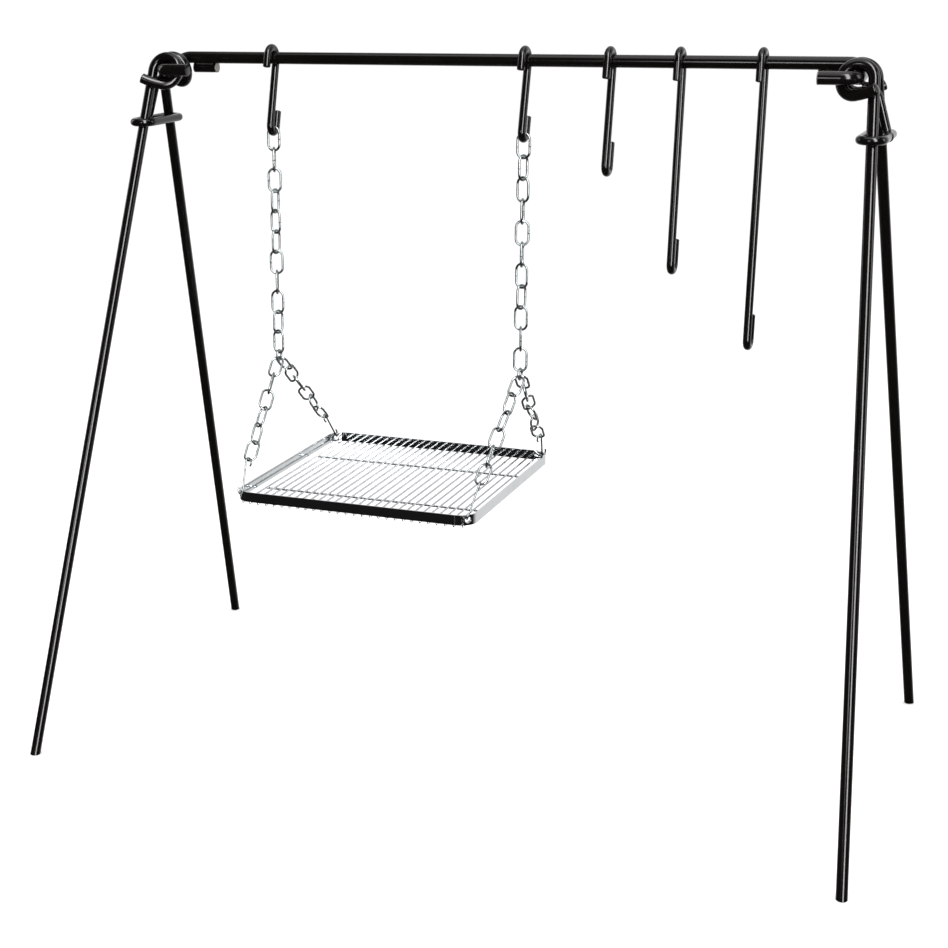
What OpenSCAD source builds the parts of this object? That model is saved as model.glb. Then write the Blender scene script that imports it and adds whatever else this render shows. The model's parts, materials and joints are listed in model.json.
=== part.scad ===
// Campfire cooking bridge. A round bar rests on two folding pairs of legs and
// carries five hooks and a square grate on two chains.
// Millimetres, +Z up, +X along the bar, -Y towards the viewer.
// The origin lies on the ground, midway between the four feet.

/* [Stand] */
// height of the bar's axis above the ground
bar_z = 806; // [500:1:1200]
// diameter of the crossbar rod
bar_d = 14; // [10:0.5:18]
// distance from the middle of the stand to each turned end of the bar
pin_x = 403; // [280:1:600]
// radius on the centre line of the two tight bends at each end
bend_r = 14; // [12:0.5:18]
// width of the turned end, from the bar's axis to the axis of its stub
turn_w = 55.5; // [54:0.5:70]
// slope of the first tight bend, degrees
turn_slope = 40; // [20:1:45]
// radius on the centre line of the ease from that slope back to level
ease_r = 10; // [8:0.5:14]
// straight length of the stub that points back inwards
stub_len = 24; // [10:1:60]
// length of the stop rod welded below the bar beside the leg eyes
stop_len = 30; // [16:1:60]

/* [Legs] */
// diameter of the leg rod
leg_d = 12; // [8:0.5:14]
// radius on the centre line of the eye bent into each leg
eye_r = 16.6; // [15:0.1:24]
// distance between the two eyes along the turned end
eye_pitch = 23.5; // [23:0.1:30]
// lean of each leg to the front or rear, degrees
leg_lean = 18.2; // [10:0.1:22]
// lean of each leg outwards, degrees
leg_splay = 4.3; // [0:0.1:8]
// straight side of the eye between its upper and lower bends
eye_run = 1.2; // [0.8:0.1:6]
// radius of the slow rise of the tail on its way out
tail_r = 90; // [36:1:140]

/* [Brace] */
// diameter of the brace rod
brace_d = 9.5; // [6:0.5:11]
// depth of the ring below the bar's axis
ring_drop = 72; // [50:1:110]
// half width of the ring on its centre line
ring_r = 11.9; // [11.6:0.1:16]
// lean of the strut that carries the ring, degrees
strut_lean = 16.7; // [8:0.1:24]
// bend radius where the strut turns into the ring
strut_bend = 10; // [7:0.5:14]
// bend radius at the top of the strut
knee_r = 18; // [12:0.5:22]

/* [Hooks] */
// diameter of the hook rod
hook_d = 9; // [6:0.5:10]
// radius on the centre line of the lower bend
hook_low_r = 8; // [7:0.1:12]
// reach of the two short hooks below the bar's axis
short_reach = 91; // [70:1:140]
// reach of the three pot hooks below the bar's axis
pot_reach_a = 126; // [90:1:200]
pot_reach_b = 232; // [140:1:320]
pot_reach_c = 312; // [200:1:420]
// rise of the upturned end above the lowest point of a pot hook
pot_lip = 38; // [24:1:60]
// rise of the upturned end of a short hook
short_lip = 30; // [20:1:50]
// place of each pot hook along the bar
pot_x_a = 131; // [110:1:150]
pot_x_b = 209; // [190:1:230]
pot_x_c = 298; // [270:1:320]

/* [Chains] */
// wire of the chain links
link_wire = 2.8; // [2:0.1:3.5]
// pitch of the chain
link_pitch = 24.8; // [20:0.1:30]
// outer width of a link
link_w = 17.4; // [13:0.1:20]
// links in each upper chain
upper_links = 11; // [6:1:12]
// links in each of the four branches
branch_links = 6; // [4:1:6]
// how far the links of an upper chain stray from quarter turns, degrees
chain_twist = 22; // [0:1:24]
// radius on the centre line of the ring that joins the branches
join_r = 6.5; // [6:0.1:9]
// wire of the four clips at the corners of the grate
clip_wire = 2.2; // [1.6:0.1:2.6]
// bend radius of a clip at the chain
clip_top_r = 5; // [4.5:0.1:7]
// bend radius of a clip at the grate
clip_low_r = 4.3; // [4:0.1:6]

/* [Grate] */
// outer width and depth of the square grate
grate_w = 300; // [240:1:340]
// place of the grate's middle along the bar
grate_x = -124; // [-160:1:-80]
// height of the grate's upper edge above the ground
grate_z = 312.5; // [280:0.5:330]
// height of the flat band round the grate
band_h = 12; // [8:0.5:20]
// thickness of the band
band_t = 2; // [1.2:0.1:3]
// outer radius of the band's corners
band_r = 20; // [12:0.5:26]
// wire of the grate
grate_wire = 2.4; // [2:0.1:4]
// number of long wires from front to rear
wire_count = 28; // [12:1:34]
// distance of the outermost long wires from the outer face of the band
wire_margin = 11; // [8:0.5:16]
// distance of each cross wire from the middle
cross_y = 77; // [40:1:110]

/* [Clearances] */
// gap between parts that move on each other
gap = 0.3; // [0.2:0.05:0.6]
// free play at the top of a loose leg eye
eye_play = 0.4; // [0.3:0.05:0.8]
// gap between a spread leg and the end of its ring
stop_gap = 0.4; // [0.3:0.05:0.8]

/* [View] */
// the sub-part to show

/* [Hidden] */
$fn = 48;
bar_r = bar_d / 2;
leg_r = leg_d / 2;
brace_r = brace_d / 2;
hook_r = hook_d / 2;
wire_r = link_wire / 2;
clip_r = clip_wire / 2;
// the turned end: a sloping bend, an ease back to level, a level pin that both
// eyes hang on, and the bend into the stub
bend_x = pin_x - bend_r;
stub_x = bend_x - stub_len;
pin_fall = bend_r * sin(turn_slope) + ease_r * (1 - cos(turn_slope));
pin_start = bend_r * cos(turn_slope) + ease_r * sin(turn_slope);
pin_z = bar_z - pin_fall;
eye_s_rear = max(bar_r + leg_r + 1, pin_start - 0.8);
eye_s_front = eye_s_rear + eye_pitch;
bar_y = (eye_s_front + eye_s_rear) / 2;
// the loose eyes hang on the pin
eye_slack = eye_r * cos(leg_lean) - leg_r - bar_r;
eye_y = bar_y - eye_s_rear;
eye_z = pin_z - max(eye_slack - eye_play, 0);
tail_swing = asin((leg_d + gap) / (2 * eye_r - 1));
tail_sweep = asin((eye_r + leg_r + 1.4) / tail_r);
// where a rod turns into a new plane the next piece starts inside the one
// before it and is thinner by a hair
hair = 0.1;
lap = 0.8;
ease_lap = asin(0.5 / ease_r);
run_on = 0.5;
// the ring round both legs
ring_z = bar_z - ring_drop;
eye_lift = eye_r * sin(leg_splay);
eye_fall = eye_z + eye_lift - ring_z;
nest = (leg_r + brace_r + stop_gap) / cos(leg_lean) - ring_r;
ring_end = eye_y + eye_fall * tan(leg_lean) / cos(leg_splay) + nest;
ring_x = pin_x + eye_r * cos(leg_splay) + eye_fall * tan(leg_splay);
arm_x = ring_x + ring_r;
// the strut between the legs
strut_top_z = pin_z - bar_r - brace_r + 2.2;
knee_foot = strut_top_z - knee_r * (1 - sin(strut_lean)) - ring_z;
strut_len = floor(100 * (knee_foot / cos(strut_lean) - strut_bend)) / 100;
// hooks
hook_top_r = bar_r + hook_r + gap;
short_dx = grate_w / 2 + 7;
hook_seat = bar_z - short_reach + hook_d;
// chains
link_len = link_pitch + link_wire + gap;
link_r = (link_w - link_wire) / 2;
chain_top = hook_seat + wire_r + gap;
join_top = chain_top - upper_links * link_pitch;
join_z = join_top - join_r;
join_in = join_r - link_wire - gap;
branch_z = join_z - join_in * cos(30);
branch_y = join_in * sin(30);
wire_first = grate_w / 2 - wire_margin;
// corner holes of the band and the clips through them
corner_c = grate_w / 2 - band_r;
corner_m = corner_c + (band_r - band_t / 2 + 0.8) * cos(45);
hole_r = 3.6;
hole_drop = 2.4 + hole_r;
clip_turn = 20;
clip_low_z = grate_z - 2.4 - clip_r - gap - 1 + clip_low_r;
run_x = short_dx - corner_m;
run_y = corner_m - branch_y;
run_z = branch_z - clip_low_z;
run_flat = sqrt(run_x * run_x + run_y * run_y);
run_len = sqrt(run_flat * run_flat + run_z * run_z);
run_turn = atan(run_x / run_y);
run_lean = atan(run_flat / run_z);
clip_at = branch_links * link_pitch + link_wire + gap - wire_r - clip_r - gap + clip_top_r;
clip_span = run_len - clip_at;

module rod(d, h) {
    cylinder(d = d, h = h);
}

// part of a ring in the XZ plane, from angle a0 over sweep degrees
module arc_xz(r, d, a0, sweep) {
    rotate([90, 0, 0]) rotate([0, 0, a0])
        rotate_extrude(angle = sweep) translate([r, 0]) circle(d = d);
}

// part of a ring in the XY plane
module arc_xy(r, d, a0, sweep) {
    rotate([0, 0, a0]) rotate_extrude(angle = sweep) translate([r, 0]) circle(d = d);
}

// part of a ring in the YZ plane, angles from +Y towards +Z
module arc_yz(r, d, a0, sweep) {
    rotate([0, 90, 0]) rotate([0, 0, 90]) rotate([0, 0, a0])
        rotate_extrude(angle = sweep) translate([r, 0]) circle(d = d);
}

// rod along +X from x0 to x1
module rod_x(d, x0, x1) {
    translate([x0, 0, 0]) rotate([0, 90, 0]) rod(d, x1 - x0);
}

// one rod: the straight bar and its first bends lie in a sloping plane, the
// turned ends are level
module crossbar() {
    color("#1d1c1b") {
        translate([0, bar_y, bar_z]) rotate([turn_slope, 0, 0]) {
            rod_x(bar_d, -bend_x, bend_x);
            first_bend();
            mirror([1, 0, 0]) first_bend();
        }
        turned_end(bar_d - hair);
        mirror([1, 0, 0]) turned_end(bar_d - hair);
    }
}

module first_bend() {
    translate([bend_x, -bend_r, 0]) arc_xy(bend_r, bar_d, 0, 90);
}

module turned_end(d) {
    translate([pin_x, bar_y - pin_start, pin_z]) {
        translate([0, 0, ease_r]) arc_yz(ease_r, d, -90, turn_slope + ease_lap);
        rotate([90, 0, 0]) rod(d, turn_w - bend_r - pin_start);
    }
    translate([bend_x, bar_y + bend_r - turn_w, pin_z]) arc_xy(bend_r, d, -90, 90);
    translate([0, bar_y - turn_w, pin_z]) rod_x(d, stub_x, bend_x);
}

// short piece of leg rod welded below the bar, a stop for the eyes
module stop() {
    rise = 5;
    color("#1d1c1b")
        translate([0, bar_y + rise, bar_z - sqrt(pow(bar_r + leg_r, 2) - rise * rise)])
            rod_x(leg_d, bend_x - stop_len - 3, bend_x - 3);
}

module right_stop() {
    stop();
}

module left_stop() {
    mirror([1, 0, 0]) stop();
}

// one rod: welded under the turned end, down as a strut and round both legs
// as a ring whose end is welded to the foot of the strut
module brace() {
    color("#201f1e") {
        difference() {
            strut();
            translate([pin_x, bar_y, pin_z]) rotate([90, 0, 0]) rod(bar_d - hair, turn_w);
        }
        ring(brace_d - hair);
    }
}

// leaned frame with its origin on the outer arm of the ring
module strut() {
    translate([arm_x, 0, ring_z]) rotate([0, -strut_lean, 0]) {
        translate([-knee_r, 0, strut_bend + strut_len])
            arc_xz(knee_r, brace_d, 0, 92 - strut_lean);
        translate([0, 0, strut_bend]) rod(brace_d, strut_len);
        translate([0, -strut_bend, strut_bend]) arc_yz(strut_bend, brace_d, -90, 90);
        translate([0, -strut_bend, 0]) rotate([90, 0, 0])
            rod(brace_d, ring_end - strut_bend);
    }
}

module ring(d) {
    front = ring_end + run_on;
    translate([arm_x, lap - ring_end, ring_z]) rotate([90, 0, 0]) rod(d, lap + run_on);
    translate([ring_x, -front, ring_z]) arc_xy(ring_r, d, 180, 180);
    translate([ring_x - ring_r, ring_end, ring_z]) rotate([90, 0, 0])
        rod(d, ring_end + front);
    translate([ring_x, ring_end, ring_z]) arc_xy(ring_r, d, 0, 180);
    translate([arm_x, ring_end, ring_z]) rotate([90, 0, 0]) rod(d, ring_end + 1);
}

module right_brace() {
    brace();
}

module left_brace() {
    mirror([1, 0, 0]) brace();
}

// a leg bent from one rod; its eye winds over the turned end and its tail
// crosses outside the shank
module leg() {
    shank = eye_z / (cos(leg_lean) * cos(leg_splay)) + 12;
    color("#1f1e1d") difference() {
        translate([pin_x, -eye_y, eye_z]) rotate([-leg_lean, -leg_splay, 0]) {
            arc_xz(eye_r, leg_d, 0, 180);
            translate([eye_r, 0, -shank]) rod(leg_d, shank);
            translate([-eye_r, 0, -eye_run]) rotate([0, 0, -tail_swing]) {
                rod(leg_d - hair, lap + eye_run);
                translate([eye_r, 0, 0]) arc_xz(eye_r, leg_d - hair, 180, 90);
                translate([eye_r, 0, tail_r - eye_r])
                    arc_xz(tail_r, leg_d - hair, 270, tail_sweep);
            }
        }
        translate([pin_x - 100, -bar_z, -60]) cube([400, bar_z, 60]);
    }
}

module right_front_leg() {
    leg();
}

module right_rear_leg() {
    mirror([0, 1, 0]) leg();
}

module left_front_leg() {
    mirror([1, 0, 0]) leg();
}

module left_rear_leg() {
    mirror([1, 0, 0]) mirror([0, 1, 0]) leg();
}

// a rod bent as an S, drawn along its shank: over the bar with its tail in
// front, down across below the bar and up again behind
module hook(x, reach, lip, tail) {
    r1 = hook_top_r;
    r2 = hook_low_r;
    lean = asin((r1 + r2) / (reach - hook_r - r2));
    run = floor(100 * (r1 + r2) / tan(lean)) / 100;
    color("#1c1b1a") translate([x, bar_y, bar_z]) rotate([-lean, 0, 0]) {
        arc_yz(r1, hook_d, 0, 180);
        translate([0, -r1, -tail]) rod(hook_d, tail);
        translate([0, r1, -run]) rod(hook_d, run);
        translate([0, r1 + r2, -run]) arc_yz(r2, hook_d, 180, 180);
        translate([0, r1 + 2 * r2, -run]) rod(hook_d, lip - hook_r - r2);
    }
}

module left_short_hook() {
    hook(grate_x - short_dx, short_reach, short_lip, 12);
}

module right_short_hook() {
    hook(grate_x + short_dx, short_reach, short_lip, 12);
}

module pot_hook_a() {
    hook(pot_x_a, pot_reach_a, pot_lip, 19);
}

module pot_hook_b() {
    hook(pot_x_b, pot_reach_b, pot_lip, 19);
}

module pot_hook_c() {
    hook(pot_x_c, pot_reach_c, pot_lip, 19);
}

// one link hanging down from the centre of its upper bend, in the XZ plane
module link() {
    side = link_len - 2 * link_r;
    translate([0, 0, -link_r]) arc_xz(link_r, link_wire, 0, 180);
    translate([0, 0, -link_r - side]) arc_xz(link_r, link_wire, 180, 180);
    translate([link_r, 0, -link_r - side]) rod(link_wire, side);
    translate([-link_r, 0, -link_r - side]) rod(link_wire, side);
}

module chain(x, s) {
    color("#c9ccce") translate([x, bar_y, 0]) {
        for (i = [0 : upper_links - 1]) {
            translate([0, 0, chain_top - i * link_pitch])
                rotate([0, 0, 90 * i + s * chain_twist * sin(67 * i)])
                    link();
        }
        translate([0, 0, join_z]) arc_yz(join_r, link_wire, 0, 360);
    }
}

module left_chain() {
    chain(grate_x - short_dx, 1);
}

module right_chain() {
    chain(grate_x + short_dx, -1);
}

// frame of the right front branch, its Z axis points back up to the ring
module along_run() {
    translate([grate_x + short_dx, bar_y - branch_y, branch_z])
        rotate([0, 0, -run_turn]) rotate([-run_lean, 0, 0])
            children();
}

// the same branch carried to the other corners
module to_corner(sx, sy) {
    translate([grate_x, bar_y, 0]) flip_x(sx) flip_y(sy)
        translate([-grate_x, -bar_y, 0])
            children();
}

module flip_x(s) {
    if (s < 0) mirror([1, 0, 0]) children();
    else children();
}

module flip_y(s) {
    if (s > 0) mirror([0, 1, 0]) children();
    else children();
}

module branch() {
    color("#c9ccce") along_run()
        for (i = [0 : branch_links - 1])
            translate([0, 0, -i * link_pitch])
                rotate([0, 0, i * 360 / (branch_links - 1)])
                    link();
}

module right_front_branch() {
    to_corner(1, -1) branch();
}

module right_rear_branch() {
    to_corner(1, 1) branch();
}

module left_front_branch() {
    to_corner(-1, -1) branch();
}

module left_rear_branch() {
    to_corner(-1, 1) branch();
}

// an S of thin wire between the last link and the hole in the corner, turned
// a little so that its lower bend passes squarely through the hole
module clip() {
    r1 = clip_top_r;
    r2 = clip_low_r;
    lean = asin((r1 + r2) / clip_span);
    run = floor(100 * (r1 + r2) / tan(lean)) / 100;
    color("#c3c7ca") along_run() translate([0, 0, -clip_at])
        rotate([0, 0, clip_turn]) rotate([lean, 0, 0]) {
            mirror([0, 1, 0]) arc_yz(r1, clip_wire, 0, 230);
            translate([0, -r1, -run]) rod(clip_wire, run);
            translate([0, -r1 - r2, -run]) mirror([0, 0, 1]) arc_yz(r2, clip_wire, 0, 205);
        }
}

module right_front_clip() {
    to_corner(1, -1) clip();
}

module right_rear_clip() {
    to_corner(1, 1) clip();
}

module left_front_clip() {
    to_corner(-1, -1) clip();
}

module left_rear_clip() {
    to_corner(-1, 1) clip();
}

// square with rounded corners
module round_square(w, r, h) {
    c = w / 2 - r;
    translate([-w / 2, -c, 0]) cube([w, 2 * c, h]);
    translate([-c, -w / 2, 0]) cube([2 * c, w, h]);
    for (x = [-c, c], y = [-c, c])
        translate([x, y, 0]) cylinder(r = r, h = h);
}

module grate_band() {
    color("#b9bcc0") translate([grate_x, bar_y, grate_z - band_h])
        difference() {
            round_square(grate_w, band_r, band_h);
            translate([0, 0, -1])
                round_square(grate_w - 2 * band_t, band_r - band_t, band_h + 2);
            for (a = [45 : 90 : 315])
                translate([0, 0, band_h - hole_drop]) rotate([0, 0, a])
                    translate([corner_c * sqrt(2), 0, 0]) rotate([0, 90, 0])
                        cylinder(r = hole_r, h = band_r + 4);
        }
}

// half length of a long wire at x, which ends flush with the band's outer face
function wire_reach(x) = abs(x) <= corner_c ? grate_w / 2
    : corner_c + sqrt(band_r * band_r - pow(abs(x) - corner_c, 2));

// long wires welded under the band
module grate_wires() {
    step = 2 * wire_first / (wire_count - 1);
    color("#b4b8bc") translate([grate_x, bar_y, grate_z - band_h - grate_wire / 2])
        for (i = [0 : wire_count - 1]) {
            x = i * step - wire_first;
            translate([x, wire_reach(x), 0])
                rotate([90, 0, 0]) rod(grate_wire, 2 * wire_reach(x));
        }
}

// two wires welded below the long ones, from the first to the last of them
module cross_wires() {
    color("#b4b8bc") translate([grate_x, bar_y, grate_z - band_h - 1.5 * grate_wire])
        for (y = [-cross_y, cross_y])
            translate([0, y, 0]) rod_x(grate_wire, -wire_first - 2, wire_first + 2);
}

crossbar();
left_stop();
right_stop();
left_brace();
right_brace();
left_front_leg();
left_rear_leg();
right_front_leg();
right_rear_leg();
left_short_hook();
right_short_hook();
pot_hook_a();
pot_hook_b();
pot_hook_c();
left_chain();
right_chain();
left_front_branch();
left_rear_branch();
right_front_branch();
right_rear_branch();
left_front_clip();
left_rear_clip();
right_front_clip();
right_rear_clip();
grate_band();
grate_wires();
cross_wires();
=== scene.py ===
# %% [markdown]
# # A campfire cooking bridge
# The real thing is a round steel bar on two pairs of folding legs. Three hooks for pots and a
# wire grate on two chains hang from it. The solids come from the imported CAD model, so this
# script only dresses them: it gives each metal its finish, adds the small things that
# welding, cutting and plating leave behind, and sets up the studio.

# %% Load the fixed frame
import json
from math import asin, cos, degrees, pi, radians, sin, sqrt, tan

import bmesh
import bpy
from mathutils import Matrix, Vector


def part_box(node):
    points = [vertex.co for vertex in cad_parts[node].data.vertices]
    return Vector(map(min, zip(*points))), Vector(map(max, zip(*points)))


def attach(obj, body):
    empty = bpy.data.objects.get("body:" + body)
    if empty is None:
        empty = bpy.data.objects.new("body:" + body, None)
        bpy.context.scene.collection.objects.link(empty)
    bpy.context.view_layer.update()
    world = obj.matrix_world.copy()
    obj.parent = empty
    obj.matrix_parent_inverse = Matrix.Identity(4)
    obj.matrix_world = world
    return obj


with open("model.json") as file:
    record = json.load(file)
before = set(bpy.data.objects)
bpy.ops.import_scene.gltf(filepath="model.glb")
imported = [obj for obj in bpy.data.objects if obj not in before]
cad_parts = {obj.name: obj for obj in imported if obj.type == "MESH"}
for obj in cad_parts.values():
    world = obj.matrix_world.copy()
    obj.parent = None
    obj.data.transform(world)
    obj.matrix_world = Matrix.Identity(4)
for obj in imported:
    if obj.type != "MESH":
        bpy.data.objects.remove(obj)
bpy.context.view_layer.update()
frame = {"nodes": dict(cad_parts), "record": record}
nodes = frame["nodes"]


# %% [markdown]
# Places are thought out in millimetres, as in the CAD model, and scaled to metres once, when
# a piece is finished. The driving sizes below are those of the CAD model. Whatever can be
# measured on a node is measured there instead.

# %% Driving sizes in millimetres
MM = 0.001


def measured(node):
    low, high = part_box(node)
    return low / MM, high / MM


_, bar_high = measured("crossbar")
band_low, band_high = measured("grate_band")
BAR_D = 14.0
BAR_R = BAR_D / 2
BAR_Z = bar_high.z - BAR_R
BAR_Y = bar_high.y - BAR_R
LEG_D = 12.0
LEG_R = LEG_D / 2
BRACE_D = 9.5
BRACE_R = BRACE_D / 2
HOOK_D = 9.0
HOOK_R = HOOK_D / 2
GAP = 0.3  # left between two pieces that hang in each other
GRATE_MIDDLE = (band_low + band_high) / 2
GRATE_W = band_high.x - band_low.x
print(f"bar axis at y {BAR_Y:.2f}, z {BAR_Z:.2f} mm; grate {GRATE_W:.1f} mm wide")


# %% [markdown]
# The camera stands in front and to the right of the stand and looks slightly down. Its place,
# its turn and its shift come from matching the ends of the bar, the feet, the hooks and
# the corners of the grate. A camera needs its three axes as the columns of a matrix.

# %% The camera
PICTURE = 948
SENSOR = 36.0
FOCAL_PIXELS = 1836.0
CENTRE_X, CENTRE_Y = 330.19, 521.47
right_axis = Vector((0.9163144, 0.4001382, -0.0160157))
up_axis = Vector((-0.1060165, 0.2809540, 0.9538474))
CAMERA_PLACE = Vector((682.69, -2000.22, 933.61))
CLIP_END = 60.0  # metres
camera_data = bpy.data.cameras.new("studio_camera")
camera_data.sensor_width = SENSOR
camera_data.lens = FOCAL_PIXELS / PICTURE * SENSOR
camera_data.shift_x = (PICTURE / 2 - CENTRE_X) / PICTURE
camera_data.shift_y = (CENTRE_Y - PICTURE / 2) / PICTURE
camera_data.clip_end = CLIP_END
camera = bpy.data.objects.new("studio_camera", camera_data)
bpy.context.scene.collection.objects.link(camera)
turned = Matrix((right_axis, up_axis, right_axis.cross(up_axis))).transposed().to_4x4()
camera.matrix_world = Matrix.Translation(CAMERA_PLACE * MM) @ turned
bpy.context.scene.camera = camera
print(f"lens {camera_data.lens:.1f} mm, shift {camera_data.shift_x:.3f}, {camera_data.shift_y:.3f}")


# %% [markdown]
# Two helpers serve every material: one turns a hex colour, as read from a screen, into the
# linear numbers that a shader wants, and one adds a node with its settings and its links.

# %% Colour and node helpers
def linear(hex_colour):
    parts = [int(hex_colour[i:i + 2], 16) / 255 for i in (1, 3, 5)]
    return tuple(c / 12.92 if c < 0.04045 else ((c + 0.055) / 1.055) ** 2.4 for c in parts) + (1.0,)


def add_node(tree, kind, settings=None, links=None):
    node = tree.nodes.new(kind)
    for name, value in (settings or {}).items():
        if name in node.inputs:
            node.inputs[name].default_value = value
        else:
            setattr(node, name, value)
    for name, source in (links or {}).items():
        tree.links.new(source, node.inputs[name])
    return node


def new_material(name):
    material = bpy.data.materials.new(name)
    material.use_nodes = True
    material.node_tree.nodes.clear()
    return material, material.node_tree


# %% [markdown]
# ## Finishes
# The stand and the hooks are steel rod with a baked black coat. Such a coat is a dark, faintly
# brown black with a soft gloss. Seen close, its skin has shallow ripples a millimetre or two
# apart, like the peel of an orange, so a highlight along a rod breaks up a little. Slow
# changes of gloss over a few centimetres keep long rods from looking like plastic.

# %% Black baked coat
def black_coat(name, peel=0.05, roughness=(0.12, 0.2)):
    """Baked black coat: near black, dielectric, soft gloss, orange peel 1.6 mm apart."""
    material, tree = new_material(name)
    place = add_node(tree, "ShaderNodeTexCoord")
    slow = add_node(tree, "ShaderNodeTexNoise", {"Scale": 1 / (45 * MM), "Detail": 3.0},
                    {"Vector": place.outputs["Object"]})
    skin = add_node(tree, "ShaderNodeTexNoise", {"Scale": 1 / (1.6 * MM), "Detail": 1.0},
                    {"Vector": place.outputs["Object"]})
    tint = add_node(tree, "ShaderNodeMixRGB",
                    {"Color1": linear("#080706"), "Color2": linear("#0d0b09")},
                    {"Fac": slow.outputs["Fac"]})
    gloss = add_node(tree, "ShaderNodeMapRange",
                     {"From Min": 0.3, "From Max": 0.7, "To Min": roughness[0], "To Max": roughness[1]},
                     {"Value": slow.outputs["Fac"]})
    ripple = add_node(tree, "ShaderNodeBump", {"Strength": peel, "Distance": 0.2 * MM},
                      {"Height": skin.outputs["Fac"]})
    shader = add_node(tree, "ShaderNodeBsdfPrincipled", {"IOR": 1.42, "Metallic": 0.0},
                      {"Base Color": tint.outputs["Color"], "Roughness": gloss.outputs["Result"],
                       "Normal": ripple.outputs["Normal"]})
    add_node(tree, "ShaderNodeOutputMaterial", {}, {"Surface": shader.outputs["BSDF"]})
    return material


rod_coat = black_coat("black_baked_coat")
weld_coat = black_coat("black_coat_over_weld", peel=0.3, roughness=(0.22, 0.34))
print("coats:", rod_coat.name, weld_coat.name)


# %% [markdown]
# The chains and their clips are bright zinc plated. Zinc is a bluish grey metal. The plating is
# shiny but not a mirror, because the wire below it is a little uneven, and its clear passivation
# leaves faint cool and warm clouds.

# %% Bright zinc plating
def bright_zinc(name, roughness=(0.14, 0.25)):
    """Zinc plated wire: bluish grey metal, soft mirror, clouds about 9 mm wide, drawn skin 0.7 mm."""
    material, tree = new_material(name)
    place = add_node(tree, "ShaderNodeTexCoord")
    clouds = add_node(tree, "ShaderNodeTexNoise", {"Scale": 1 / (9 * MM), "Detail": 3.0},
                      {"Vector": place.outputs["Object"]})
    skin = add_node(tree, "ShaderNodeTexNoise", {"Scale": 1 / (0.7 * MM), "Detail": 2.0},
                    {"Vector": place.outputs["Object"]})
    tint = add_node(tree, "ShaderNodeMixRGB",
                    {"Color1": linear("#959a9b"), "Color2": linear("#828787")},
                    {"Fac": clouds.outputs["Fac"]})
    gloss = add_node(tree, "ShaderNodeMapRange",
                     {"From Min": 0.3, "From Max": 0.7, "To Min": roughness[0], "To Max": roughness[1]},
                     {"Value": clouds.outputs["Fac"]})
    uneven = add_node(tree, "ShaderNodeBump", {"Strength": 0.12, "Distance": 0.1 * MM},
                      {"Height": skin.outputs["Fac"]})
    shader = add_node(tree, "ShaderNodeBsdfPrincipled", {"Metallic": 1.0},
                      {"Base Color": tint.outputs["Color"], "Roughness": gloss.outputs["Result"],
                       "Normal": uneven.outputs["Normal"]})
    add_node(tree, "ShaderNodeOutputMaterial", {}, {"Surface": shader.outputs["BSDF"]})
    return material


zinc = bright_zinc("bright_zinc_plate")
zinc_weld = bright_zinc("zinc_over_weld", roughness=(0.3, 0.42))
print("plated:", zinc.name, zinc_weld.name)


# %% [markdown]
# The grate is plated bright all over. Its band is cold rolled strip, so it is nearly a mirror,
# with very fine lines along its length where the rolls pulled it. Those lines are noise that is
# squeezed in height and stretched along the strip. The wires are drawn through a die, and carry
# the same kind of lines along their own length.

# %% Bright rolled strip and drawn wire
def bright_steel(name, stretch, roughness, tone=("#d6d8d9", "#c3c6c8")):
    """Plated bright steel: lines 0.5 mm apart, drawn out where `stretch` is small."""
    material, tree = new_material(name)
    place = add_node(tree, "ShaderNodeTexCoord")
    along = add_node(tree, "ShaderNodeMapping", {"Scale": stretch},
                     {"Vector": place.outputs["Object"]})
    lines = add_node(tree, "ShaderNodeTexNoise", {"Scale": 1 / (0.5 * MM), "Detail": 3.0},
                     {"Vector": along.outputs["Vector"]})
    clouds = add_node(tree, "ShaderNodeTexNoise", {"Scale": 1 / (30 * MM), "Detail": 2.0},
                      {"Vector": place.outputs["Object"]})
    tint = add_node(tree, "ShaderNodeMixRGB", {"Color1": linear(tone[0]), "Color2": linear(tone[1])},
                    {"Fac": clouds.outputs["Fac"]})
    gloss = add_node(tree, "ShaderNodeMapRange",
                     {"From Min": 0.3, "From Max": 0.7, "To Min": roughness[0], "To Max": roughness[1]},
                     {"Value": lines.outputs["Fac"]})
    groove = add_node(tree, "ShaderNodeBump", {"Strength": 0.06, "Distance": 0.05 * MM},
                      {"Height": lines.outputs["Fac"]})
    shader = add_node(tree, "ShaderNodeBsdfPrincipled", {"Metallic": 1.0},
                      {"Base Color": tint.outputs["Color"], "Roughness": gloss.outputs["Result"],
                       "Normal": groove.outputs["Normal"]})
    add_node(tree, "ShaderNodeOutputMaterial", {}, {"Surface": shader.outputs["BSDF"]})
    return material


strip = bright_steel("bright_rolled_strip", stretch=(0.02, 0.02, 1.0), roughness=(0.05, 0.1))
DRAWN = ("#c8cbcc", "#b6b9bb")
long_wire = bright_steel("bright_drawn_wire_lengthwise", (1.0, 0.02, 1.0), (0.12, 0.2), tone=DRAWN)
cross_wire = bright_steel("bright_drawn_wire_crosswise", (0.02, 1.0, 1.0), (0.12, 0.2), tone=DRAWN)
print("bright:", strip.name, long_wire.name, cross_wire.name)


# %% [markdown]
# Where a rod was cut after coating, the bare steel shows. A saw leaves it grey and matt, with
# lines across the cut.

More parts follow.
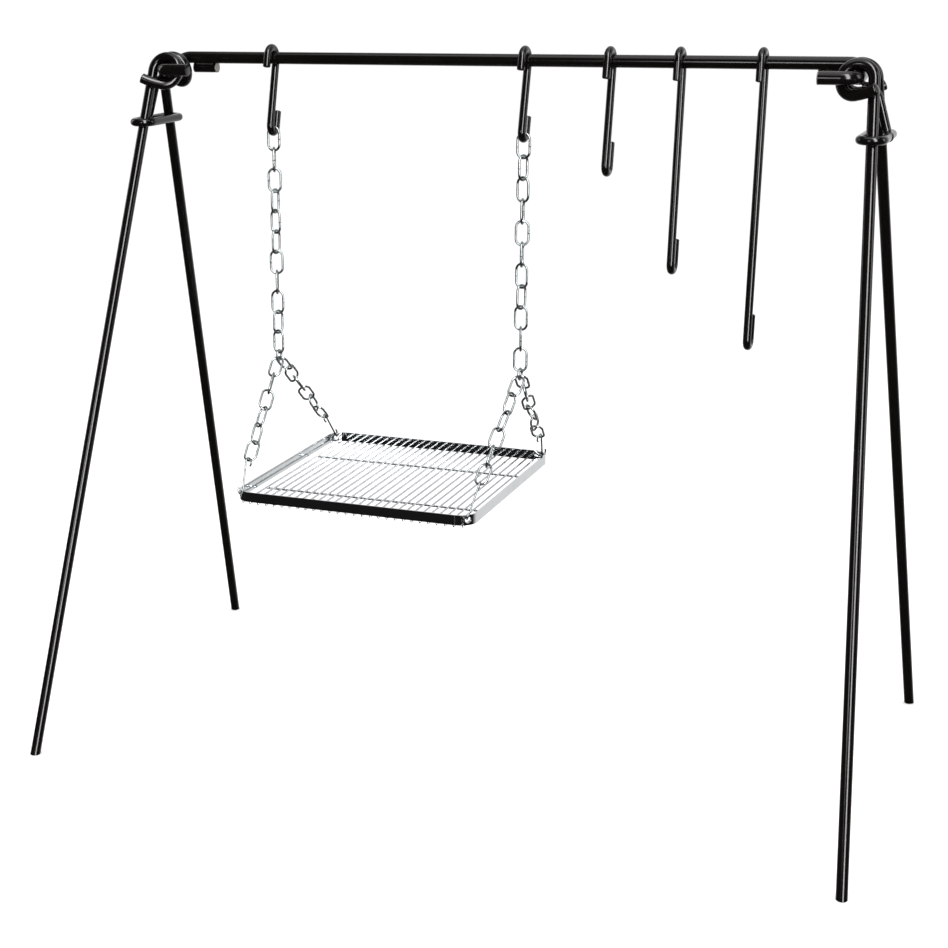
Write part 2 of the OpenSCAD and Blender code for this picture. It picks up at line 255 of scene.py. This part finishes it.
# %% Bare sawn steel
def sawn_steel(name):
    """Bare mild steel from a saw: grey, matt metal, lines 0.6 mm apart."""
    material, tree = new_material(name)
    place = add_node(tree, "ShaderNodeTexCoord")
    across = add_node(tree, "ShaderNodeMapping", {"Scale": (0.1, 0.1, 1.0)},
                      {"Vector": place.outputs["Object"]})
    lines = add_node(tree, "ShaderNodeTexNoise", {"Scale": 1 / (0.6 * MM), "Detail": 3.0},
                     {"Vector": across.outputs["Vector"]})
    tint = add_node(tree, "ShaderNodeMixRGB",
                    {"Color1": linear("#9c9a95"), "Color2": linear("#77746f")},
                    {"Fac": lines.outputs["Fac"]})
    groove = add_node(tree, "ShaderNodeBump", {"Strength": 0.4, "Distance": 0.15 * MM},
                      {"Height": lines.outputs["Fac"]})
    shader = add_node(tree, "ShaderNodeBsdfPrincipled", {"Metallic": 0.6, "Roughness": 0.55},
                      {"Base Color": tint.outputs["Color"], "Normal": groove.outputs["Normal"]})
    add_node(tree, "ShaderNodeOutputMaterial", {}, {"Surface": shader.outputs["BSDF"]})
    return material


bare_steel = sawn_steel("bare_sawn_steel")
print("bare:", bare_steel.name)


# %% [markdown]
# The CAD nodes keep their shape and get a finish in their material slots. Which finish a node
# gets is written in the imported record, as its material slot.

# %% Finishes for the CAD nodes
FINISH = {"black_coat": rod_coat, "zinc": zinc, "bright_steel": strip}
for part in frame["record"]["subparts"]:
    for slot in nodes[part["node"]].material_slots:
        slot.material = FINISH[part["material_slot"]]
for name, finish in {"grate_wires": long_wire, "cross_wires": cross_wire}.items():
    nodes[name].material_slots[0].material = finish
for name in ("crossbar", "left_chain", "grate_band"):
    print(name, "wears", nodes[name].material_slots[0].material.name)


# %% [markdown]
# ## Small pieces
# Each small piece is built in millimetres in a bmesh, and this helper closes the job: it turns
# the faces outwards, scales to metres, keeps hard edges hard and lets the piece ride on its body.

# %% Finishing a piece
HARD_EDGE = radians(40)


def finished(name, bm, body, material):
    bmesh.ops.recalc_face_normals(bm, faces=bm.faces)
    bm.transform(Matrix.Scale(MM, 4))
    mesh = bpy.data.meshes.new(name)
    bm.to_mesh(mesh)
    bm.free()
    mesh.shade_smooth()
    mesh.set_sharp_from_angle(angle=HARD_EDGE)
    mesh.materials.append(material)
    piece = bpy.data.objects.new(name, mesh)
    bpy.context.scene.collection.objects.link(piece)
    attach(piece, body)
    print(f"{name}: {len(mesh.polygons)} faces on {body}")
    return piece


def turn(degrees_, axis):
    return Matrix.Rotation(radians(degrees_), 4, axis)


def shift(x, y, z):
    return Matrix.Translation((x, y, z))


def mirrored(side):
    return Matrix.Diagonal((side, 1, 1, 1))


# %% [markdown]
# The stop rods and the right end of the bar were cut after coating, so they show as light
# discs. The left end of the bar is black in the photograph. A disc alone would vanish seen from
# the side. The real cut also takes the coat off its edge, so each piece is a thin cap with a
# bevelled rim that reaches a little over the rod.

# %% Cut ends of the bar and the stops
END_LAP = 0.7
END_PROUD = 0.25
END_WIDER = 0.06
ROD_INSET = 0.05
END_BEVEL = 0.35
TURN_W = 55.5
TURN_SLOPE = radians(40)
PIN_X = 403.0
BEND_R = 14.0
EASE_R = 10.0
pin_start = BEND_R * cos(TURN_SLOPE) + EASE_R * sin(TURN_SLOPE)
PIN_Z = BAR_Z - BEND_R * sin(TURN_SLOPE) - EASE_R * (1 - cos(TURN_SLOPE))
STUB_LEN = 24.0
STUB_X = PIN_X - BEND_R - STUB_LEN
STOP_RISE = 5.0
STOP_FROM_BEND = 3.0
STOP_X = PIN_X - BEND_R - STOP_FROM_BEND
STOP_LEN = 30.0
stop_y = BAR_Y + STOP_RISE
stop_z = BAR_Z - sqrt((BAR_R + LEG_R) ** 2 - STOP_RISE ** 2)


def cut_cap(bm, place, radius):
    """Adds a cap that faces local -Z, on a rod that runs along local +Z from the origin."""
    made = bmesh.ops.create_cone(bm, cap_ends=True, segments=40, radius1=radius + END_WIDER,
                                 radius2=radius + END_WIDER, depth=END_LAP + END_PROUD)
    # dict.fromkeys drops repeats and keeps the order, which a set does not
    edges = dict.fromkeys(e for v in made["verts"] for e in v.link_edges)
    rim = [e for e in edges if all(v.co.z < 0 for v in e.verts)]
    bmesh.ops.translate(bm, verts=made["verts"], vec=(0, 0, (END_LAP - END_PROUD) / 2))
    cut = bmesh.ops.bevel(bm, geom=rim, offset=END_BEVEL, offset_type="OFFSET", segments=2,
                          profile=0.5, affect="EDGES", material=-1)
    loose = {v for f in cut["faces"] for v in f.verts} | {v for v in made["verts"] if v.is_valid}
    bmesh.ops.transform(bm, matrix=place, verts=list(loose))


for side, label in ((-1, "left"), (1, "right")):
    bm = bmesh.new()
    stub_end = shift(STUB_X, BAR_Y - TURN_W, PIN_Z) @ turn(90, "Y")
    cut_cap(bm, mirrored(side) @ stub_end, BAR_R - ROD_INSET)
    # only the right stub was cut after coating
    finished(f"{label}_bar_cut", bm, "stand", bare_steel if side > 0 else rod_coat)
    bm = bmesh.new()
    for x, way in ((STOP_X - STOP_LEN, 90), (STOP_X, -90)):
        cut_cap(bm, mirrored(side) @ shift(x, stop_y, stop_z) @ turn(way, "Y"), LEG_R)
    finished(f"{label}_stop_cuts", bm, "stand", bare_steel)


# %% [markdown]
# The free ends of the hooks and of the leg tails were rounded before coating. A half ball,
# flattened along the rod, closes each one. The places are worked out in the same frames in
# which the rods were bent.

# %% Rounded tips
TIP = 1.7
TIP_INSET = 0.02
CUT_BELOW = 0.02  # of the ball's radius, so that the cut misses its middle row of points


def round_tip(bm, place, radius):
    """Adds a low dome that bulges towards local +Z."""
    made = bmesh.ops.create_uvsphere(bm, u_segments=28, v_segments=10, radius=1.0)
    ball = made["verts"]
    faces = dict.fromkeys(f for v in ball for f in v.link_faces)
    edges = dict.fromkeys(e for f in faces for e in f.edges)
    cut = bmesh.ops.bisect_plane(bm, geom=[*ball, *edges, *faces], dist=1e-5,
                                 plane_co=(0, 0, -CUT_BELOW), plane_no=(0, 0, 1), clear_inner=True)
    open_edges = [g for g in cut["geom_cut"] if isinstance(g, bmesh.types.BMEdge)]
    lid = bmesh.ops.holes_fill(bm, edges=open_edges, sides=0)
    kept = {v for v in ball if v.is_valid} | {v for f in lid["faces"] for v in f.verts}
    kept |= {g for g in cut["geom_cut"] if isinstance(g, bmesh.types.BMVert)}
    size = Matrix.Diagonal((radius - TIP_INSET, radius - TIP_INSET, TIP, 1))
    bmesh.ops.transform(bm, matrix=place @ size, verts=list(kept))


HOOK_TOP_R = BAR_R + HOOK_R + GAP
HOOK_LOW_R = 8.0
BESIDE_GRATE = 7.0
SHORT_DX = GRATE_W / 2 + BESIDE_GRATE
SHORT_REACH = 91
# name, body, place along the bar, reach below the bar, rise of the lip, length of the tail
HOOKS = [("left_short_hook", "hangers", GRATE_MIDDLE.x - SHORT_DX, SHORT_REACH, 30, 12),
         ("right_short_hook", "hangers", GRATE_MIDDLE.x + SHORT_DX, SHORT_REACH, 30, 12),
         ("pot_hook_a", "pot_hook_a", 131, 126, 38, 19),
         ("pot_hook_b", "pot_hook_b", 209, 232, 38, 19),
         ("pot_hook_c", "pot_hook_c", 298, 312, 38, 19)]
for name, body, x, reach, lip, tail in HOOKS:
    lean = asin((HOOK_TOP_R + HOOK_LOW_R) / (reach - HOOK_R - HOOK_LOW_R))
    shank_len = (HOOK_TOP_R + HOOK_LOW_R) / tan(lean)
    shank = shift(x, BAR_Y, BAR_Z) @ turn(-degrees(lean), "X")
    lip_end = -shank_len + lip - HOOK_R - HOOK_LOW_R
    bm = bmesh.new()
    round_tip(bm, shank @ shift(0, -HOOK_TOP_R, -tail) @ turn(180, "X"), HOOK_R)
    round_tip(bm, shank @ shift(0, HOOK_TOP_R + 2 * HOOK_LOW_R, lip_end), HOOK_R)
    finished(f"{name}_tips", bm, body, rod_coat)


# %% [markdown]
# Each leg is one rod too. Its eye ends in a tail that crosses outside the shank and rises
# slowly, and the tail's end is rounded like the hooks. The eye's own frame leans as the leg does.

# %% Rounded tails of the legs
EYE_R = 16.6
EYE_RUN = 1.2
EYE_PLAY = 0.4
LEG_LEAN = 18.2
LEG_SPLAY = 4.3
TAIL_R = 90.0
TAIL_PAST = 1.4
TAIL_LESS = 1.0
EYE_BEFORE_PIN = 0.8
eye_y = BAR_Y - (pin_start - EYE_BEFORE_PIN)
eye_z = PIN_Z - (EYE_R * cos(radians(LEG_LEAN)) - LEG_R - BAR_R - EYE_PLAY)
tail_swing = degrees(asin((LEG_D + GAP) / (2 * EYE_R - TAIL_LESS)))
tail_sweep = degrees(asin((EYE_R + LEG_R + TAIL_PAST) / TAIL_R))

for side, label in ((-1, "left"), (1, "right")):
    for way, end in ((1, "front"), (-1, "rear")):
        eye = shift(PIN_X, -eye_y, eye_z) @ turn(-LEG_SPLAY, "Y") @ turn(-LEG_LEAN, "X")
        swung = eye @ shift(-EYE_R, 0, -EYE_RUN) @ turn(-tail_swing, "Z")
        tail_middle = swung @ shift(EYE_R, 0, TAIL_R - EYE_R)
        tip = tail_middle @ turn(-tail_sweep, "Y") @ shift(0, 0, -TAIL_R) @ turn(90, "Y")
        bm = bmesh.new()
        round_tip(bm, Matrix.Diagonal((side, way, 1, 1)) @ tip, LEG_R - ROD_INSET)
        finished(f"{label}_{end}_leg_tip", bm, f"{label}_{end}_leg", rod_coat)


# %% [markdown]
# ## Welds
# A weld bead is a row of small overlapping puddles. Balls stretched to a puddle's size and laid
# along a path show that well, cost few faces, and can follow a straight seam or go round a rod.

# %% Weld puddles
def puddle(bm, place, size):
    bmesh.ops.create_icosphere(bm, subdivisions=2, radius=1.0,
                               matrix=place @ Matrix.Diagonal((*size, 1)))


def bead_round(bm, place, radius, size, count):
    """Puddles on a circle in the local XY plane."""
    for i in range(count):
        puddle(bm, place @ turn(360 * i / count, "Z") @ shift(radius, 0, 0), size)


STRUT_BEAD = (2.1, 1.5, 1.9)
STRUT_BEADS = 14
STRUT_BEAD_UP = 0.6
STRUT_BEAD_OUT = 0.15
FOOT_BEAD = (1.0, 1.5, 1.7)
FOOT_BEADS = 16
FOOT_BEAD_BACK = 1.5
FOOT_BEAD_IN = 0.1
STOP_BEAD = (1.5, 1.5, 1.5)
STOP_BEADS = 12
STOP_BEAD_START = 5.0
STOP_BEAD_STEP = 1.8
STOP_BEAD_OUT = 3.1
RING_DOWN = 72.0
RING_Z = BAR_Z - RING_DOWN
_, brace_high = measured("right_brace")
arm_x = brace_high.x - BRACE_R
for side, label in ((-1, "left"), (1, "right")):
    bm = bmesh.new()
    # the top of the strut below the turned end
    saddle = shift(PIN_X, 0, PIN_Z - BAR_R + STRUT_BEAD_UP)
    bead_round(bm, mirrored(side) @ saddle, BRACE_R + STRUT_BEAD_OUT, STRUT_BEAD, STRUT_BEADS)
    # the end of the ring against the foot of the strut
    joint = shift(arm_x, FOOT_BEAD_BACK, RING_Z) @ turn(90, "X")
    bead_round(bm, mirrored(side) @ joint, BRACE_R - FOOT_BEAD_IN, FOOT_BEAD, FOOT_BEADS)
    finished(f"{label}_brace_weld", bm, "stand", weld_coat)
    bm = bmesh.new()
    # both sides of the line on which the stop touches the bar
    to_bar = Vector((0, BAR_Y - stop_y, BAR_Z - stop_z)).normalized()
    touch = Vector((0, stop_y, stop_z)) + to_bar * LEG_R
    out = Vector((0, to_bar.z, -to_bar.y))
    for sign in (-1, 1):
        spot = touch + out * sign * STOP_BEAD_OUT
        for i in range(STOP_BEADS):
            x = STOP_X - STOP_BEAD_START - i * STOP_BEAD_STEP
            puddle(bm, mirrored(side) @ shift(x, spot.y, spot.z), STOP_BEAD)
    finished(f"{label}_stop_weld", bm, "stand", weld_coat)


# %% [markdown]
# A chain link is a piece of wire, bent round and joined by a flash weld in the middle of one
# straight side, where the metal swells slightly. One short barrel per link shows it. The frames
# of the links repeat the turns that the CAD model gives them.

# %% Swellings on the chain links
LINK_WIRE = 2.8
LINK_W = 17.4
PITCH = 24.8
LINK_R = (LINK_W - LINK_WIRE) / 2
LINK_LEN = PITCH + LINK_WIRE + GAP
SWELL = 0.3
SWELL_LEN = 4.4
UPPER_LINKS = 11
BRANCH_LINKS = 6
TWIST = 22.0
TWIST_STEP = 67
chain_top = BAR_Z - SHORT_REACH + HOOK_D + LINK_WIRE / 2 + GAP


def swelling(bm, link_frame, side):
    middle = link_frame @ shift(side * LINK_R, 0, -LINK_LEN / 2)
    puddle(bm, middle, (LINK_WIRE / 2 + SWELL, LINK_WIRE / 2 + SWELL, SWELL_LEN / 2))


for side, label in ((-1, "left"), (1, "right")):
    bm = bmesh.new()
    for i in range(UPPER_LINKS):
        angle = 90 * i - side * TWIST * sin(radians(TWIST_STEP * i))
        hung = shift(GRATE_MIDDLE.x + side * SHORT_DX, BAR_Y, chain_top - i * PITCH)
        swelling(bm, hung @ turn(angle, "Z"), (-1) ** i)
    finished(f"{label}_chain_welds", bm, "chains", zinc_weld)


# %% [markdown]
# Below the joining ring each chain parts into two branches that lean out to the corners of
# the grate. The frame of a branch turns first towards its corner and then leans.

# %% Swellings on the branches
JOIN_R = 6.5
JOIN_SPREAD = radians(30)
CLIP_R = 1.1
CLIP_LOW_R = 4.3
CLIP_OUT = 0.8
CLIP_DROP = 1.0
CORNER_R = 20.0
BAND_T = 2.0
HOLE_DOWN = 2.4
join_z = chain_top - UPPER_LINKS * PITCH - JOIN_R
join_in = JOIN_R - LINK_WIRE - GAP
branch_z = join_z - join_in * cos(JOIN_SPREAD)
branch_y = join_in * sin(JOIN_SPREAD)
corner_c = GRATE_W / 2 - CORNER_R
corner_m = corner_c + (CORNER_R - BAND_T / 2 + CLIP_OUT) * cos(radians(45))
clip_low_z = band_high.z - HOLE_DOWN - CLIP_R - GAP - CLIP_DROP + CLIP_LOW_R
run = Vector((SHORT_DX - corner_m, -(corner_m - branch_y), clip_low_z - branch_z))
run_turn = degrees(Vector((run.x, run.y)).angle(Vector((0, -1))))
run_lean = degrees(run.angle(Vector((0, 0, -1))))
branch = shift(SHORT_DX, -branch_y, branch_z) @ turn(-run_turn, "Z") @ turn(-run_lean, "X")
for side, label in ((-1, "left"), (1, "right")):
    for way, end in ((1, "front"), (-1, "rear")):
        bm = bmesh.new()
        corner = shift(GRATE_MIDDLE.x, BAR_Y, 0) @ Matrix.Diagonal((side, way, 1, 1)) @ branch
        for i in range(BRANCH_LINKS):
            link = corner @ shift(0, 0, -i * PITCH) @ turn(i * 360 / (BRANCH_LINKS - 1), "Z")
            swelling(bm, link, (-1) ** i)
        finished(f"{label}_{end}_branch_welds", bm, "grate", zinc_weld)


# %% [markdown]
# The wires are spot welded under the band and the two cross wires under the long ones. At each
# crossing the metal was squeezed and leaves a small flat nugget.

# %% Spot welds of the grate
WIRE = 2.4
WIRE_COUNT = 28
WIRE_MARGIN = 11.0
CROSS_Y = 77.0
CROSS_PAST = 2.0
BAND_SPOT = (1.9, 1.25, 0.9)
CROSS_SPOT = (1.5, 1.5, 0.7)
SPOT_DOWN = 0.2
first = GRATE_W / 2 - WIRE_MARGIN
wire_at = [i * 2 * first / (WIRE_COUNT - 1) - first for i in range(WIRE_COUNT)]


def band_reach(x, radius):
    """How far from the middle the band's face of that corner radius is, at x from the middle."""
    if abs(x) <= corner_c:
        return corner_c + radius
    return corner_c + sqrt(radius ** 2 - (abs(x) - corner_c) ** 2)


bm = bmesh.new()
for x in wire_at:
    for edge in (-1, 1):
        y = BAR_Y + edge * band_reach(x, CORNER_R - BAND_T / 2)
        puddle(bm, shift(GRATE_MIDDLE.x + x, y, band_low.z - SPOT_DOWN), BAND_SPOT)
finished("band_spot_welds", bm, "grate", zinc_weld)
bm = bmesh.new()
for x in wire_at:
    for edge in (-1, 1):
        crossing = shift(GRATE_MIDDLE.x + x, BAR_Y + edge * CROSS_Y, band_low.z - WIRE)
        puddle(bm, crossing, CROSS_SPOT)
finished("cross_spot_welds", bm, "grate", zinc_weld)


# %% [markdown]
# A saw leaves a wire's end flat, and the plating rounds it. Both ends of every wire get a low
# dome, a fraction of a millimetre high.

# %% Ends of the wires
DOME = 0.5
DOME_INSET = 0.01
dome_r = WIRE / 2 - DOME_INSET
bm = bmesh.new()
for x in wire_at:
    for edge in (-1, 1):
        y = BAR_Y + edge * band_reach(x, CORNER_R)
        puddle(bm, shift(GRATE_MIDDLE.x + x, y, band_low.z - WIRE / 2), (dome_r, DOME, dome_r))
for y in (-CROSS_Y, CROSS_Y):
    for edge in (-1, 1):
        x = GRATE_MIDDLE.x + edge * (first + CROSS_PAST)
        puddle(bm, shift(x, BAR_Y + y, band_low.z - 1.5 * WIRE), (DOME, dome_r, dome_r))
finished("wire_ends", bm, "grate", long_wire)


# %% [markdown]
# The band is one strip whose ends meet at the front, near the right corner, in a butt weld that
# was ground nearly flat. It shows as one thin upright line. A narrow bevelled bar stands
# a tenth of a millimetre proud of both faces.

# %% Seam of the band
SEAM_X = 5.6
SEAM_W = 1.1
SEAM_PROUD = 0.12
SEAM_BEVEL = 0.09
SEAM_TALLER = 0.1
band_h = band_high.z - band_low.z
bm = bmesh.new()
made = bmesh.ops.create_cube(bm, size=1.0)
seam = shift(SEAM_X, BAR_Y - (GRATE_W - BAND_T) / 2, (band_low.z + band_high.z) / 2)
seam_size = Matrix.Diagonal((SEAM_W, BAND_T + 2 * SEAM_PROUD, band_h + SEAM_TALLER, 1))
bmesh.ops.transform(bm, matrix=seam @ seam_size, verts=made["verts"])
bmesh.ops.bevel(bm, geom=list(bm.edges), offset=SEAM_BEVEL, offset_type="OFFSET", segments=2,
                profile=0.5, affect="EDGES", material=-1)
finished("band_seam", bm, "grate", zinc_weld)


# %% [markdown]
# The holes for the clips were punched, which turns up a small bright lip round each hole. The
# lip is a ring spun from a small circle. The band is round at its corners, so each point of
# the ring is moved back by as much as the corner falls away there.

# %% Lips of the corner holes
HOLE_R = 3.6
HOLE_Z = band_high.z - HOLE_DOWN - HOLE_R
LIP = 0.25
LIP_OUT = 0.2
for side, label in ((-1, "left"), (1, "right")):
    for way, end in ((1, "front"), (-1, "rear")):
        bm = bmesh.new()
        bmesh.ops.create_circle(bm, cap_ends=False, segments=8, radius=LIP,
                                matrix=shift(HOLE_R + LIP_OUT, 0, 0) @ turn(90, "X"))
        bmesh.ops.spin(bm, geom=list(bm.verts) + list(bm.edges), cent=(0, 0, 0), axis=(0, 0, 1),
                       dvec=(0, 0, 0), angle=2 * pi, steps=36, use_merge=True, use_duplicate=False)
        for v in bm.verts:
            v.co.z += sqrt(CORNER_R ** 2 - v.co.x ** 2) - CORNER_R
        middle = shift(GRATE_MIDDLE.x, BAR_Y, HOLE_Z) @ Matrix.Diagonal((side, way, 1, 1))
        facing = middle @ shift(corner_c, -corner_c, 0) @ turn(-45, "Z") @ shift(CORNER_R, 0, 0)
        bm.transform(facing @ turn(90, "Y") @ turn(90, "Z"))
        finished(f"{label}_{end}_hole_lip", bm, "grate", strip)


# %% [markdown]
# ## The studio
# The object stands on a wide white sweep and is lit by soft boxes. The floor is a matt white
# sheet with almost no sheen. It is not part of the object, and the metal does not mirror it.

# %% Floor
FLOOR_W = 28.0  # metres
FLOOR_DOWN = 0.5
floor_paint, tree = new_material("matt_white_sweep")
place = add_node(tree, "ShaderNodeTexCoord")
grain = add_node(tree, "ShaderNodeTexNoise", {"Scale": 1 / (300 * MM), "Detail": 2.0},
                 {"Vector": place.outputs["Object"]})
paper = add_node(tree, "ShaderNodeMixRGB", {"Color1": linear("#fbfbfb"), "Color2": linear("#f8f8f8")},
                 {"Fac": grain.outputs["Fac"]})
shader = add_node(tree, "ShaderNodeBsdfPrincipled", {"Roughness": 0.9, "IOR": 1.02},
                  {"Base Color": paper.outputs["Color"]})
add_node(tree, "ShaderNodeOutputMaterial", {}, {"Surface": shader.outputs["BSDF"]})
bm = bmesh.new()
bmesh.ops.create_grid(bm, x_segments=1, y_segments=1, size=FLOOR_W / 2)
mesh = bpy.data.meshes.new("floor")
bm.to_mesh(mesh)
bm.free()
mesh.materials.append(floor_paint)
floor = bpy.data.objects.new("floor", mesh)
floor.location.z = -FLOOR_DOWN * MM
bpy.context.scene.collection.objects.link(floor)
floor.visible_glossy = False
print("floor", FLOOR_W, "m wide")


# %% [markdown]
# The room is white at the back of the sweep and dark behind the camera. That dark side is what
# the polished band and the black rods mirror in the photograph. The world gives three things:
# plain white to the eye, soft even light to matt surfaces, and to glossy ones a room that goes
# from dark at the camera's side to white at the back.

# %% Room light
world = bpy.data.worlds.new("studio_room")
bpy.context.scene.world = world
world.use_nodes = True
tree = world.node_tree
tree.nodes.clear()
ray = add_node(tree, "ShaderNodeLightPath")
place = add_node(tree, "ShaderNodeTexCoord")
parts = add_node(tree, "ShaderNodeSeparateXYZ", {}, {"Vector": place.outputs["Generated"]})
depth = add_node(tree, "ShaderNodeMapRange",
                 {"From Min": 0.25, "From Max": 0.8, "To Min": 0.012, "To Max": 0.92,
                  "interpolation_type": "SMOOTHSTEP"},
                 {"Value": parts.outputs["Y"]})
print("room goes from dark to white")


# %% [markdown]
# A tall narrow lamp stands to the right of the camera. It draws the thin bright line along the
# front of the rods. It is a bright strip in the room that only glossy surfaces mirror, so it
# sheds no light on the floor. The strip is narrow sideways, lies in front only, and stops low
# down. Its edges are sines of angles, because the room is read by direction.

# %% Tall narrow lamp
LAMP_TURN = radians(34)
LAMP_EDGE = (0.11, 0.19)
LAMP_FRONT = (-0.2, -0.5)
LAMP_FOOT = (-0.27, -0.2)
LAMP_LEVEL = 18.0
from_lamp = add_node(tree, "ShaderNodeMapping", {"Rotation": (0, 0, -LAMP_TURN)},
                     {"Vector": place.outputs["Generated"]})
aside = add_node(tree, "ShaderNodeSeparateXYZ", {}, {"Vector": from_lamp.outputs["Vector"]})
off_axis = add_node(tree, "ShaderNodeMath", {"operation": "ABSOLUTE"}, {0: aside.outputs["X"]})
strip_edge = add_node(tree, "ShaderNodeMapRange",
                      {"From Min": LAMP_EDGE[1], "From Max": LAMP_EDGE[0],
                       "To Min": 0.0, "To Max": LAMP_LEVEL,
                       "interpolation_type": "SMOOTHSTEP"},
                      {"Value": off_axis.outputs[0]})
in_front = add_node(tree, "ShaderNodeMapRange",
                    {"From Min": LAMP_FRONT[0], "From Max": LAMP_FRONT[1],
                     "To Min": 0.0, "To Max": 1.0},
                    {"Value": aside.outputs["Y"]})
above = add_node(tree, "ShaderNodeMapRange",
                 {"From Min": LAMP_FOOT[0], "From Max": LAMP_FOOT[1], "To Min": 0.0, "To Max": 1.0},
                 {"Value": aside.outputs["Z"]})
strip_light = add_node(tree, "ShaderNodeMath", {"operation": "MULTIPLY"},
                       {0: strip_edge.outputs["Result"], 1: in_front.outputs["Result"]})
tall_lamp = add_node(tree, "ShaderNodeMath", {"operation": "MULTIPLY"},
                     {0: strip_light.outputs[0], 1: above.outputs["Result"]})
print("tall lamp", round(degrees(LAMP_TURN)), "degrees to the right")


# %% [markdown]
# A ray from the camera meets plain white. A ray off a glossy surface meets the room with its
# lamp, and every other ray meets the even light.

# %% Which rays meet which room
both = add_node(tree, "ShaderNodeMath", {"operation": "ADD"},
                {0: depth.outputs["Result"], 1: tall_lamp.outputs[0]})
room = add_node(tree, "ShaderNodeBackground", {}, {"Color": both.outputs[0]})
even = add_node(tree, "ShaderNodeBackground", {"Color": (1, 1, 1, 1), "Strength": 1.06})
white = add_node(tree, "ShaderNodeBackground", {"Color": (1, 1, 1, 1), "Strength": 1.05})
glossy = add_node(tree, "ShaderNodeMixShader", {},
                  {"Fac": ray.outputs["Is Glossy Ray"], 1: even.outputs[0], 2: room.outputs[0]})
seen = add_node(tree, "ShaderNodeMixShader", {},
                {"Fac": ray.outputs["Is Camera Ray"], 1: glossy.outputs[0], 2: white.outputs[0]})
add_node(tree, "ShaderNodeOutputWorld", {}, {"Surface": seen.outputs["Shader"]})
print("room light ready")


# %% [markdown]
# Four soft boxes do the rest. A small one in front, a little above the bar, draws the line
# along it. A wide one overhead lights the tops, and two tall ones at the sides edge the legs.

# %% Soft boxes
def soft_box(name, place, target, width, height, power):
    light = bpy.data.lights.new(name, "AREA")
    light.shape = "RECTANGLE"
    light.size = width
    light.size_y = height
    light.energy = power
    box = bpy.data.objects.new(name, light)
    box.location = place
    box.rotation_euler = (Vector(target) - Vector(place)).to_track_quat("-Z", "Y").to_euler()
    bpy.context.scene.collection.objects.link(box)
    return box


soft_box("front_box", (-0.2, -3.0, 1.05), (0, 0, 0.8), 0.6, 0.7, 12)
soft_box("top_box", (0.2, -0.2, 3.0), (0, 0, 0.4), 2.6, 2.6, 34)
soft_box("left_box", (-3.0, 0.4, 1.4), (0, 0, 0.4), 0.7, 2.2, 14)
soft_box("right_box", (3.0, 0.6, 1.4), (0, 0, 0.4), 0.7, 2.2, 20)
bpy.context.scene.view_settings.view_transform = "Standard"
print("four soft boxes")
